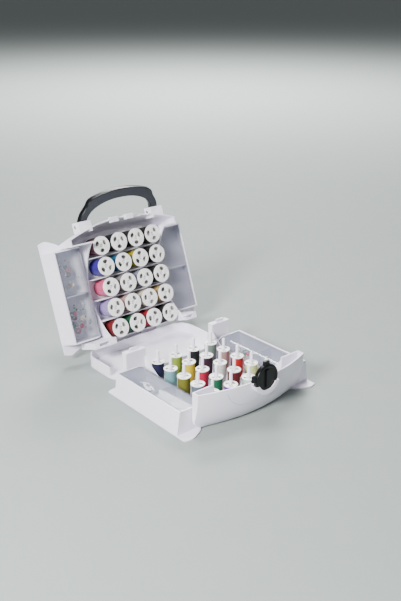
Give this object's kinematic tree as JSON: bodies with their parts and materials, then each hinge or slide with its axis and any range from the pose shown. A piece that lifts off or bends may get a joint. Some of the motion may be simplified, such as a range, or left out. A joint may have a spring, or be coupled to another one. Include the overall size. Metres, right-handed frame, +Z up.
{
  "type": "bobbin box",
  "caption": "Folding bobbin box shown open: two racks of thread spools, swing-out side compartments with clear covers, a spine hinge, a turning latch and a carrying handle.",
  "frame": {"origin": "under the middle of the base half, on the surface the box stands on", "axes": "+Z up; -Y is the front, the side of the base with the latch; +Y runs through the spine to the lid; +X is the right-hand side seen from the front"},
  "size_m": [0.3012, 0.4401, 0.3001],
  "materials": {
    "white_shell": "fine satin moulding",
    "clear_cover": "clear moulded styrene",
    "black_latch": "satin",
    "grey_handle": "satin",
    "hinge_steel": "drawn wire",
    "thread_base_black": "wound polyester thread",
    "thread_base_cream": "wound polyester thread",
    "thread_base_crimson": "wound polyester thread",
    "thread_base_dusty_rose": "wound polyester thread",
    "thread_base_green": "wound polyester thread",
    "thread_base_lime": "wound polyester thread",
    "thread_base_maroon": "wound polyester thread",
    "thread_base_mint": "wound polyester thread",
    "thread_base_navy": "wound polyester thread",
    "thread_base_olive": "wound polyester thread",
    "thread_base_pale_lime": "wound polyester thread",
    "thread_base_plum": "wound polyester thread",
    "thread_base_purple": "wound polyester thread",
    "thread_base_red": "wound polyester thread",
    "thread_base_sage": "wound polyester thread",
    "thread_base_silver": "wound polyester thread",
    "thread_base_slate": "wound polyester thread",
    "thread_base_teal": "wound polyester thread",
    "thread_base_white": "wound polyester thread",
    "thread_base_yellow": "wound polyester thread",
    "thread_lid_bottle_green": "wound polyester thread",
    "thread_lid_brown_black": "wound polyester thread",
    "thread_lid_charcoal": "wound polyester thread",
    "thread_lid_coal": "wound polyester thread",
    "thread_lid_dark_red": "wound polyester thread",
    "thread_lid_ebony": "wound polyester thread",
    "thread_lid_indigo": "wound polyester thread",
    "thread_lid_ivory": "wound polyester thread",
    "thread_lid_jet": "wound polyester thread",
    "thread_lid_lavender": "wound polyester thread",
    "thread_lid_lilac_grey": "wound polyester thread",
    "thread_lid_mauve": "wound polyester thread",
    "thread_lid_midnight": "wound polyester thread",
    "thread_lid_mustard": "wound polyester thread",
    "thread_lid_pink": "wound polyester thread",
    "thread_lid_rose_beige": "wound polyester thread",
    "thread_lid_scarlet": "wound polyester thread",
    "thread_lid_sea_blue": "wound polyester thread",
    "thread_lid_tan": "wound polyester thread",
    "thread_lid_taupe": "wound polyester thread"
  },
  "bodies": {
    "base": {"base_shell": "white_shell", "base_spool_rack": "white_shell", "base_spool_black": "thread_base_black", "base_spool_cream": "thread_base_cream", "base_spool_crimson": "thread_base_crimson", "base_spool_dusty_rose": "thread_base_dusty_rose", "base_spool_green": "thread_base_green", "base_spool_lime": "thread_base_lime", "base_spool_maroon": "thread_base_maroon", "base_spool_mint": "thread_base_mint", "base_spool_navy": "thread_base_navy", "base_spool_olive": "thread_base_olive", "base_spool_pale_lime": "thread_base_pale_lime", "base_spool_plum": "thread_base_plum", "base_spool_purple": "thread_base_purple", "base_spool_red": "thread_base_red", "base_spool_sage": "thread_base_sage", "base_spool_silver": "thread_base_silver", "base_spool_slate": "thread_base_slate", "base_spool_teal": "thread_base_teal", "base_spool_white": "thread_base_white", "base_spool_yellow": "thread_base_yellow"},
    "spine": {"spine_shell": "white_shell", "base_hinge_rod": "hinge_steel", "lid_hinge_rod": "hinge_steel"},
    "lid": {"lid_shell": "white_shell", "lid_spool_rack": "white_shell", "lid_spool_bottle_green": "thread_lid_bottle_green", "lid_spool_brown_black": "thread_lid_brown_black", "lid_spool_charcoal": "thread_lid_charcoal", "lid_spool_coal": "thread_lid_coal", "lid_spool_dark_red": "thread_lid_dark_red", "lid_spool_ebony": "thread_lid_ebony", "lid_spool_indigo": "thread_lid_indigo", "lid_spool_ivory": "thread_lid_ivory", "lid_spool_jet": "thread_lid_jet", "lid_spool_lavender": "thread_lid_lavender", "lid_spool_lilac_grey": "thread_lid_lilac_grey", "lid_spool_mauve": "thread_lid_mauve", "lid_spool_midnight": "thread_lid_midnight", "lid_spool_mustard": "thread_lid_mustard", "lid_spool_pink": "thread_lid_pink", "lid_spool_rose_beige": "thread_lid_rose_beige", "lid_spool_scarlet": "thread_lid_scarlet", "lid_spool_sea_blue": "thread_lid_sea_blue", "lid_spool_tan": "thread_lid_tan", "lid_spool_taupe": "thread_lid_taupe"},
    "latch": {"latch_disc": "black_latch"},
    "handle": {"carry_handle": "grey_handle"},
    "base_right_bin": {"base_right_compartment": "white_shell"},
    "base_right_cover": {"base_right_cover": "clear_cover"},
    "base_left_bin": {"base_left_compartment": "white_shell"},
    "base_left_cover": {"base_left_cover": "clear_cover"},
    "lid_right_bin": {"lid_right_compartment": "white_shell"},
    "lid_right_cover": {"lid_right_cover": "clear_cover"},
    "lid_left_bin": {"lid_left_compartment": "white_shell"},
    "lid_left_cover": {"lid_left_cover": "clear_cover"}
  },
  "joints": [
    {"name": "spine_hinge", "type": "hinge", "parent": "base", "child": "spine", "pos_m": [0, 0.112, 0.009], "axis": [1, 0, 0], "range_deg": [0, 90]},
    {"name": "lid_hinge", "type": "hinge", "parent": "spine", "child": "lid", "pos_m": [0, 0.2285, 0.009], "axis": [1, 0, 0], "range_deg": [0, 19.7]},
    {"name": "base_right_bin_swing", "type": "hinge", "parent": "base", "child": "base_right_bin", "pos_m": [0.0965, 0, 0.0205], "axis": [0, -1, 0], "range_deg": [0, 90]},
    {"name": "base_left_bin_swing", "type": "hinge", "parent": "base", "child": "base_left_bin", "pos_m": [-0.0965, 0, 0.0205], "axis": [0, 1, 0], "range_deg": [0, 90]},
    {"name": "lid_right_bin_swing", "type": "hinge", "parent": "lid", "child": "lid_right_bin", "pos_m": [0.1045, 0.26296, 0.11563], "axis": [0, -0.3371, -0.9415], "range_deg": [0, 90]},
    {"name": "lid_left_bin_swing", "type": "hinge", "parent": "lid", "child": "lid_left_bin", "pos_m": [-0.0965, 0.25543, 0.11832], "axis": [0, 0.3371, 0.9415], "range_deg": [0, 90]},
    {"name": "latch_turn", "type": "hinge", "parent": "base", "child": "latch", "pos_m": [0, -0.12, 0.07], "axis": [0, 1, 0], "range_deg": [0, 90]},
    {"name": "handle_swing", "type": "hinge", "parent": "lid", "child": "handle", "pos_m": [0, 0.26534, 0.23798], "axis": [1, 0, 0], "range_deg": [-100, 0]},
    {"name": "base_right_cover_swing", "type": "hinge", "parent": "base_right_bin", "child": "base_right_cover", "pos_m": [0.1324, 0, 0.0388], "axis": [0, -1, 0], "range_deg": [-90, 0]},
    {"name": "base_left_cover_swing", "type": "hinge", "parent": "base_left_bin", "child": "base_left_cover", "pos_m": [-0.1324, 0, 0.0388], "axis": [0, 1, 0], "range_deg": [-90, 0]},
    {"name": "lid_right_cover_swing", "type": "hinge", "parent": "lid_right_bin", "child": "lid_right_cover", "pos_m": [0.1484, 0.25326, 0.1191], "axis": [0, -0.3371, -0.9415], "range_deg": [-90, 0]},
    {"name": "lid_left_cover_swing", "type": "hinge", "parent": "lid_left_bin", "child": "lid_left_cover", "pos_m": [-0.1324, 0.2382, 0.12449], "axis": [0, 0.3371, 0.9415], "range_deg": [-90, 0]}
  ]
}
